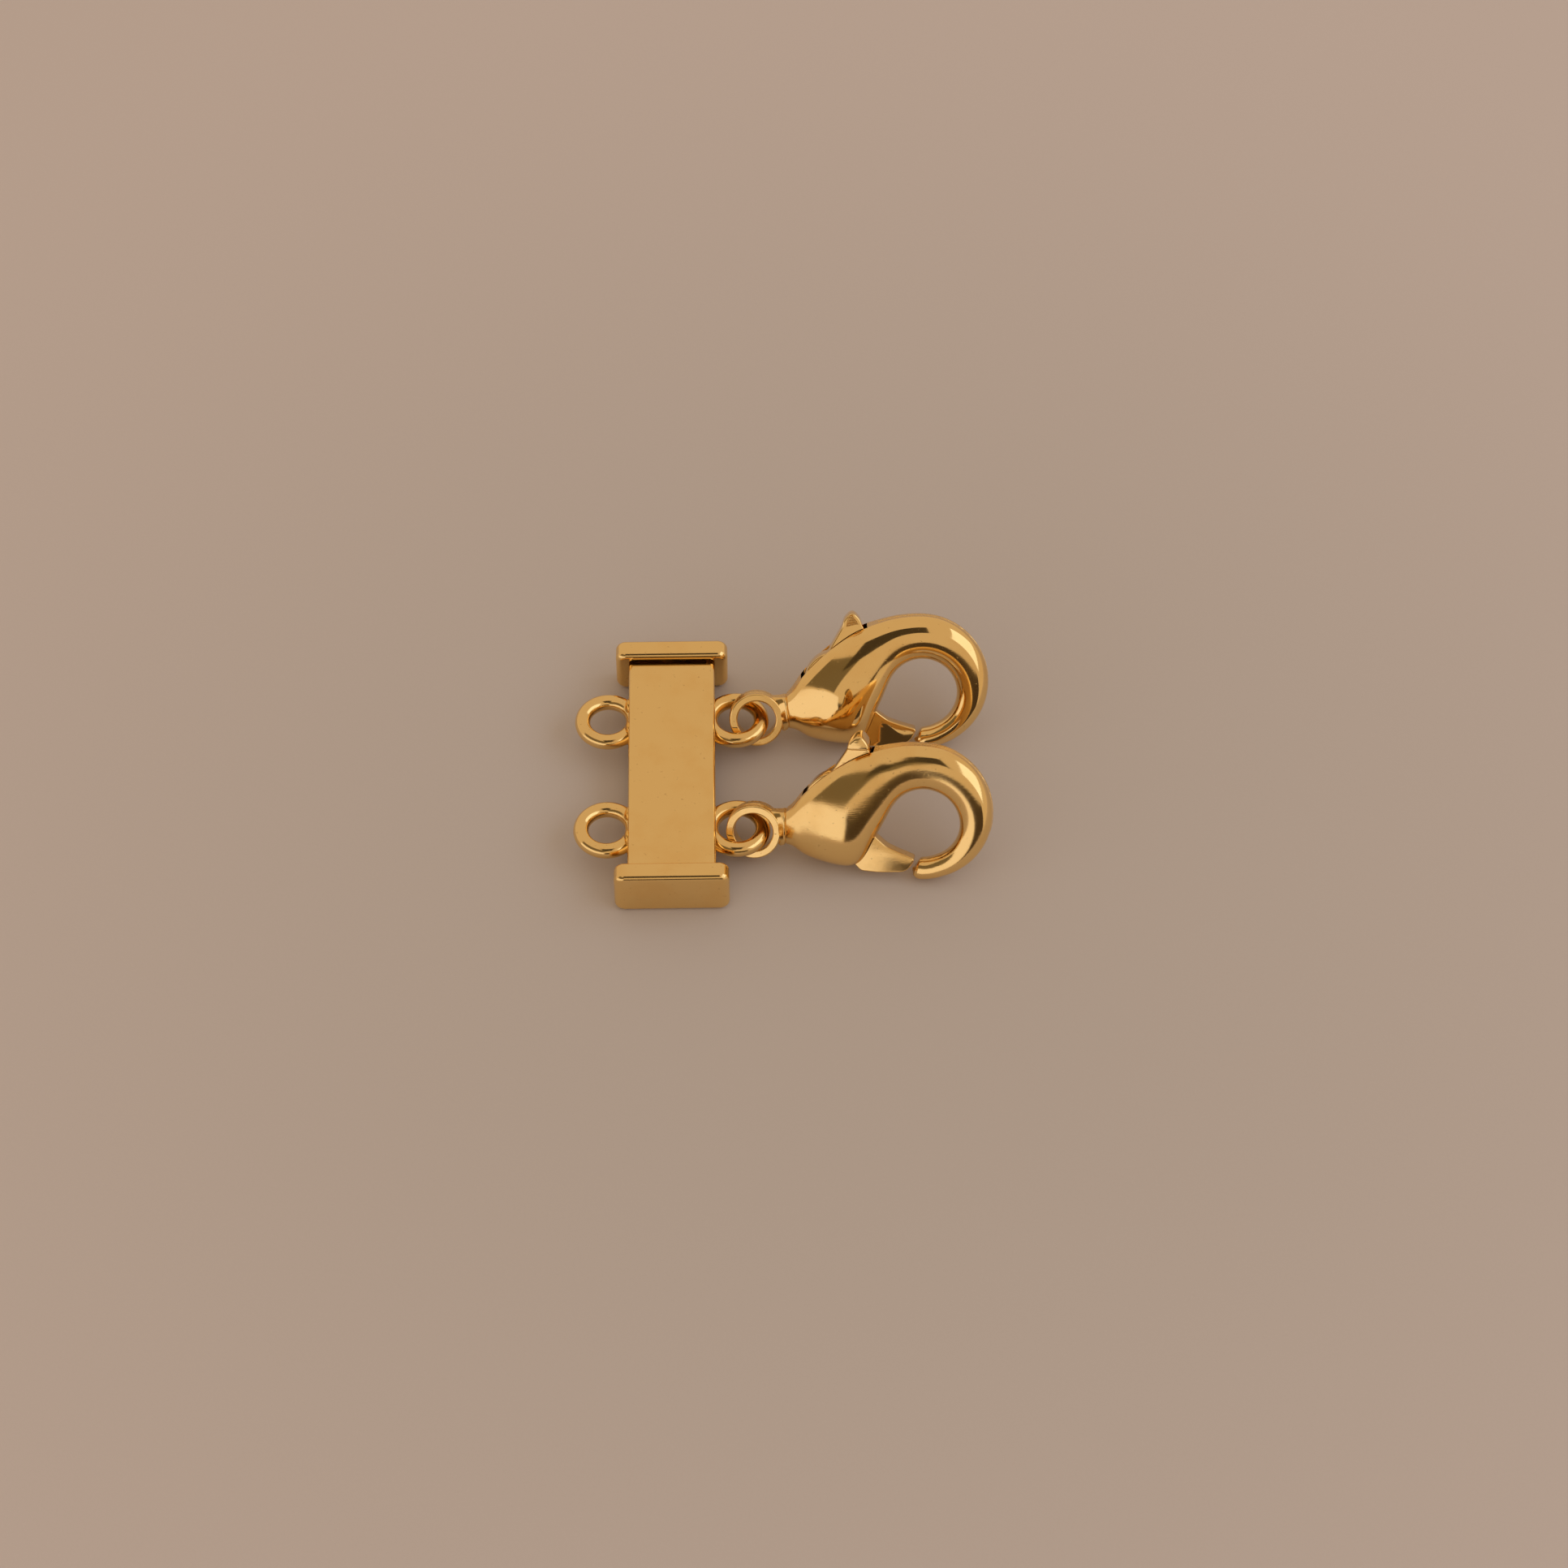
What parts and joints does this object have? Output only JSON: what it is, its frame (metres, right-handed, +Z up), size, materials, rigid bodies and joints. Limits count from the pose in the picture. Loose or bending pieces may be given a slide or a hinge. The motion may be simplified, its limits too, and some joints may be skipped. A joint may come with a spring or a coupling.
{
  "type": "multi-strand clasp",
  "caption": "Slide clasp for strands of a bracelet or necklace: a channel bar with end caps, plain loops along one side and a sprung lobster clasp on each loop of the other side.",
  "frame": {"origin": "middle of the whole object's outline, on the surface that it lies on", "axes": "+X from the plain loops to the hooks, +Y along the bar towards the cap that pulls out, +Z up"},
  "size_m": [0.0192, 0.014, 0.0059],
  "materials": {
    "slide_gold": "polished gold plating with light wear",
    "lobster_gold": "mirror polished gold plating with brushed and cast patches",
    "pin_brass": "plain drawn wire"
  },
  "bodies": {
    "fixed_half": {"outer_half": "slide_gold"},
    "sliding_half": {"inner_half": "slide_gold", "upper_lobster_body": "lobster_gold", "upper_lobster_pin": "pin_brass", "lower_lobster_body": "lobster_gold", "lower_lobster_pin": "pin_brass"},
    "upper_lever": {"upper_lobster_lever": "lobster_gold"},
    "lower_lever": {"lower_lobster_lever": "lobster_gold"}
  },
  "joints": [
    {"name": "slide_out", "type": "slide", "parent": "fixed_half", "child": "sliding_half", "axis": [0, 1, 0], "range_m": [0, 0.0112]},
    {"name": "upper_lever_hinge", "type": "hinge", "parent": "sliding_half", "child": "upper_lever", "pos_m": [0.0026, 0.00402, 0.00269], "axis": [-0.0077, -0.809, 0.5877], "range_deg": [0, 24], "stiffness_Nm_per_rad": 0.004, "springref_deg": -17.19},
    {"name": "lower_lever_hinge", "type": "hinge", "parent": "sliding_half", "child": "lower_lever", "pos_m": [0.00251, -0.00311, 0.00276], "axis": [-0.1221, -0.82, 0.5592], "range_deg": [0, 24], "stiffness_Nm_per_rad": 0.004, "springref_deg": -17.19}
  ]
}
